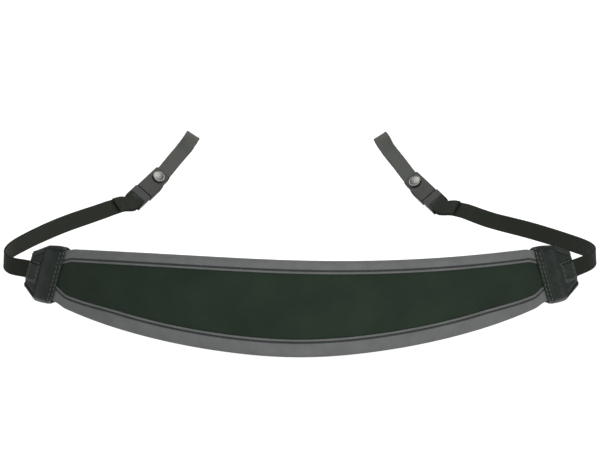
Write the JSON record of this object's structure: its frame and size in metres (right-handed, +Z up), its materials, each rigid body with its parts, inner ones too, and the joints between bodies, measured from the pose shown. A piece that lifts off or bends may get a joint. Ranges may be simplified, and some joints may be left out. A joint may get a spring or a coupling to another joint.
{
  "type": "camera neck strap",
  "caption": "Curved padded neck strap with bound edges and leather end tabs, narrow webbing, slim buckles with round studs, and loops that hang from a camera's lugs.",
  "frame": {"origin": "midway between the two camera loops, where the strap hangs from a camera's lugs", "axes": "+X to the right along the line of the two lugs, +Y away from the pad, +Z up"},
  "size_m": [0.3352, 0.2664, 0.0552],
  "materials": {
    "panel_fabric": "matte knitted face over foam, very dark green",
    "binding_fabric": "matte grey woven edging",
    "tab_leather": "black grained leather, half matte",
    "strap_webbing": "black woven webbing",
    "buckle_plastic": "black moulded plastic, satin",
    "stud_metal": "bright nickel"
  },
  "bodies": {
    "root": {"neck_pad": "panel_fabric", "upper_binding": "binding_fabric", "lower_binding": "binding_fabric", "left_end_tab": "tab_leather", "right_end_tab": "tab_leather", "left_webbing": "strap_webbing", "right_webbing": "strap_webbing", "left_buckle_plug": "buckle_plastic", "right_buckle_plug": "buckle_plastic", "left_buckle_socket": "buckle_plastic", "right_buckle_socket": "buckle_plastic", "left_stud": "stud_metal", "right_stud": "stud_metal", "left_camera_loop": "strap_webbing", "right_camera_loop": "strap_webbing"}
  },
  "joints": []
}
